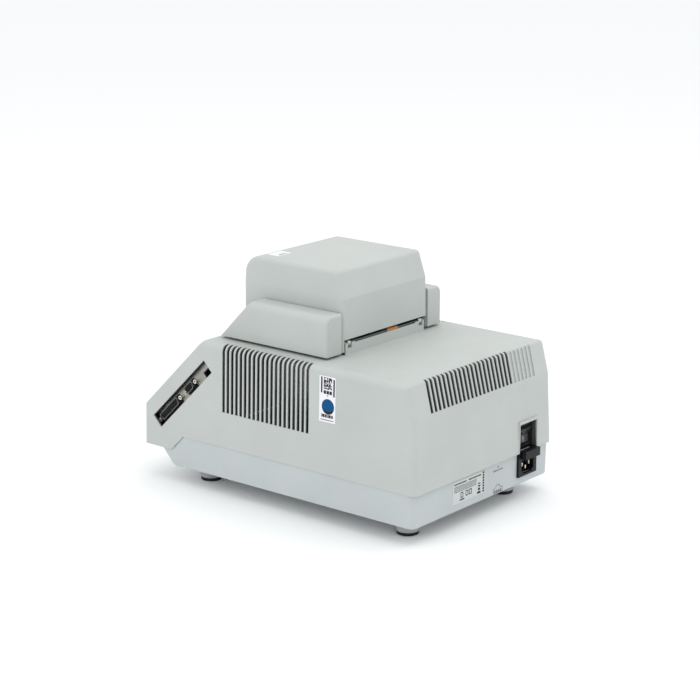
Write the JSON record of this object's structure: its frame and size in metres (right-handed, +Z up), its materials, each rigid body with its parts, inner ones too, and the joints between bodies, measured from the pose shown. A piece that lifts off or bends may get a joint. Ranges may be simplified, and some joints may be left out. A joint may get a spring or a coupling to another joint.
{
  "type": "thermal cycler",
  "caption": "Bench thermal cycler: sloped control panel, hinged heated lid over a block of sample wells, vented housing, side data ports and a rear mains inlet.",
  "frame": {"origin": "on the bench, under the middle of the outline", "axes": "+X to the user's right, +Y towards the mains inlet at the back, +Z up. The sloped panel faces -Y."},
  "size_m": [0.2658, 0.4083, 0.2753],
  "materials": {
    "shell_plastic": "fine moulded texture, neutral light grey",
    "base_plastic": "fine moulded texture, pale cool grey",
    "foot_plastic": "smooth satin",
    "foot_rubber": "matte",
    "panel_film": "satin printed film",
    "display_glass": "satin window",
    "dark_module": "dark carrier",
    "circuit_board": "green board, semi matte",
    "zinc_plate": "zinc plated sheet",
    "nickel_screws": "nickel plated",
    "port_metal": "tin plated rim round a black insulator",
    "black_plastic": "moulded",
    "inlet_plastic": "moulded",
    "rocker_plastic": "smooth",
    "latch_plastic": "fine moulded texture",
    "brass_pins": "worn plate",
    "fuse_glass": "clear tube",
    "block_metal": "fine blasted",
    "dark_plastic": "heat proof moulding",
    "cell_ceramic": "unglazed ceramic",
    "sink_metal": "extruded",
    "frame_metal": "folded sheet",
    "heater_film": "amber film",
    "spring_steel": "drawn wire",
    "shaft_steel": "ground",
    "cable_film": "amber film",
    "key_plastic": "smooth cap",
    "stop_key": "smooth cap",
    "start_key": "smooth cap",
    "side_label": "paper sticker",
    "rating_label": "printed film",
    "lid_label": "paper sticker"
  },
  "bodies": {
    "housing": {"upper_housing": "shell_plastic", "lower_casing": "base_plastic", "foot_back_right": "foot_plastic", "foot_back_left": "foot_plastic", "foot_front_right": "foot_plastic", "foot_front_left": "foot_plastic", "foot_pads": "foot_rubber", "front_panel": "panel_film", "display_window": "display_glass", "display_module": "dark_module", "key_board": "circuit_board", "connector_bracket": "zinc_plate", "jack_screws": "nickel_screws", "port_25_way": "port_metal", "port_9_way": "port_metal", "card_socket": "black_plastic", "power_entry": "inlet_plastic", "inlet_pins": "brass_pins", "sample_block": "block_metal", "block_surround": "dark_plastic", "thermoelectric_cells": "cell_ceramic", "heat_sink": "sink_metal", "fan_frame_left": "black_plastic", "fan_frame_right": "black_plastic", "main_board": "circuit_board", "power_supply": "zinc_plate", "hinge_shaft": "shaft_steel", "hinge_brackets": "zinc_plate", "latch_keeper": "zinc_plate", "side_label": "side_label", "rating_label": "rating_label", "casing_screws": "nickel_screws"},
    "lid": {"lid_hood": "shell_plastic", "lid_side_cover_right": "shell_plastic", "lid_side_cover_left": "shell_plastic", "lid_frame": "frame_metal", "latch_pin": "shaft_steel", "plate_springs": "spring_steel", "lid_cable": "cable_film", "lid_label": "lid_label"},
    "latch": {"latch_lever": "latch_plastic"},
    "heated_plate": {"heated_plate": "block_metal", "plate_heater": "heater_film"},
    "mains_rocker": {"rocker_switch": "rocker_plastic"},
    "fuse_drawer": {"fuse_drawer": "inlet_plastic", "fuses": "fuse_glass"},
    "left_fan": {"fan_rotor_left": "black_plastic"},
    "right_fan": {"fan_rotor_right": "black_plastic"},
    "key_1": {"key_1": "key_plastic"},
    "key_2": {"key_2": "key_plastic"},
    "key_3": {"key_3": "key_plastic"},
    "key_4": {"key_4": "key_plastic"},
    "key_5": {"key_5": "key_plastic"},
    "key_6": {"key_6": "key_plastic"},
    "key_7": {"key_7": "key_plastic"},
    "key_8": {"key_8": "key_plastic"},
    "key_9": {"key_9": "key_plastic"},
    "key_stop": {"key_stop": "stop_key"},
    "key_0": {"key_0": "key_plastic"},
    "key_start": {"key_start": "start_key"}
  },
  "joints": [
    {"name": "lid_hinge", "type": "hinge", "parent": "housing", "child": "lid", "pos_m": [0, 0.05, 0.192], "axis": [-1, 0, 0], "range_deg": [0, 85], "deforming": ["lid_cable"]},
    {"name": "latch_pull", "type": "hinge", "parent": "lid", "child": "latch", "pos_m": [0, -0.0842, 0.214], "axis": [-1, 0, 0], "range_deg": [0, 15], "stiffness_Nm_per_rad": 0.3, "springref_deg": -5.73},
    {"name": "heated_plate_float", "type": "slide", "parent": "lid", "child": "heated_plate", "axis": [0, 0, 1], "range_m": [0, 0.003], "stiffness_N_per_m": 6000, "springref_m": -0.003, "deforming": ["plate_springs"]},
    {"name": "mains_switch", "type": "hinge", "parent": "housing", "child": "mains_rocker", "pos_m": [-0.0835, 0.188, 0.0765], "axis": [1, 0, 0], "range_deg": [0, 20]},
    {"name": "fuse_drawer_slide", "type": "slide", "parent": "housing", "child": "fuse_drawer", "axis": [0, 1, 0], "range_m": [-0.006, 0.018]},
    {"name": "left_fan_spin", "type": "hinge", "parent": "housing", "child": "left_fan", "pos_m": [-0.044, 0.039, 0.112], "axis": [0, 1, 0], "continuous": true},
    {"name": "right_fan_spin", "type": "hinge", "parent": "housing", "child": "right_fan", "pos_m": [0.044, 0.039, 0.112], "axis": [0, 1, 0], "continuous": true},
    {"name": "key_1_press", "type": "slide", "parent": "housing", "child": "key_1", "axis": [0, 0.7071, -0.7071], "range_m": [0, 0.0015], "stiffness_N_per_m": 400, "springref_m": -0.001},
    {"name": "key_2_press", "type": "slide", "parent": "housing", "child": "key_2", "axis": [0, 0.7071, -0.7071], "range_m": [0, 0.0015], "stiffness_N_per_m": 400, "springref_m": -0.001},
    {"name": "key_3_press", "type": "slide", "parent": "housing", "child": "key_3", "axis": [0, 0.7071, -0.7071], "range_m": [0, 0.0015], "stiffness_N_per_m": 400, "springref_m": -0.001},
    {"name": "key_4_press", "type": "slide", "parent": "housing", "child": "key_4", "axis": [0, 0.7071, -0.7071], "range_m": [0, 0.0015], "stiffness_N_per_m": 400, "springref_m": -0.001},
    {"name": "key_5_press", "type": "slide", "parent": "housing", "child": "key_5", "axis": [0, 0.7071, -0.7071], "range_m": [0, 0.0015], "stiffness_N_per_m": 400, "springref_m": -0.001},
    {"name": "key_6_press", "type": "slide", "parent": "housing", "child": "key_6", "axis": [0, 0.7071, -0.7071], "range_m": [0, 0.0015], "stiffness_N_per_m": 400, "springref_m": -0.001},
    {"name": "key_7_press", "type": "slide", "parent": "housing", "child": "key_7", "axis": [0, 0.7071, -0.7071], "range_m": [0, 0.0015], "stiffness_N_per_m": 400, "springref_m": -0.001},
    {"name": "key_8_press", "type": "slide", "parent": "housing", "child": "key_8", "axis": [0, 0.7071, -0.7071], "range_m": [0, 0.0015], "stiffness_N_per_m": 400, "springref_m": -0.001},
    {"name": "key_9_press", "type": "slide", "parent": "housing", "child": "key_9", "axis": [0, 0.7071, -0.7071], "range_m": [0, 0.0015], "stiffness_N_per_m": 400, "springref_m": -0.001},
    {"name": "key_stop_press", "type": "slide", "parent": "housing", "child": "key_stop", "axis": [0, 0.7071, -0.7071], "range_m": [0, 0.0015], "stiffness_N_per_m": 400, "springref_m": -0.001},
    {"name": "key_0_press", "type": "slide", "parent": "housing", "child": "key_0", "axis": [0, 0.7071, -0.7071], "range_m": [0, 0.0015], "stiffness_N_per_m": 400, "springref_m": -0.001},
    {"name": "key_start_press", "type": "slide", "parent": "housing", "child": "key_start", "axis": [0, 0.7071, -0.7071], "range_m": [0, 0.0015], "stiffness_N_per_m": 400, "springref_m": -0.001}
  ]
}
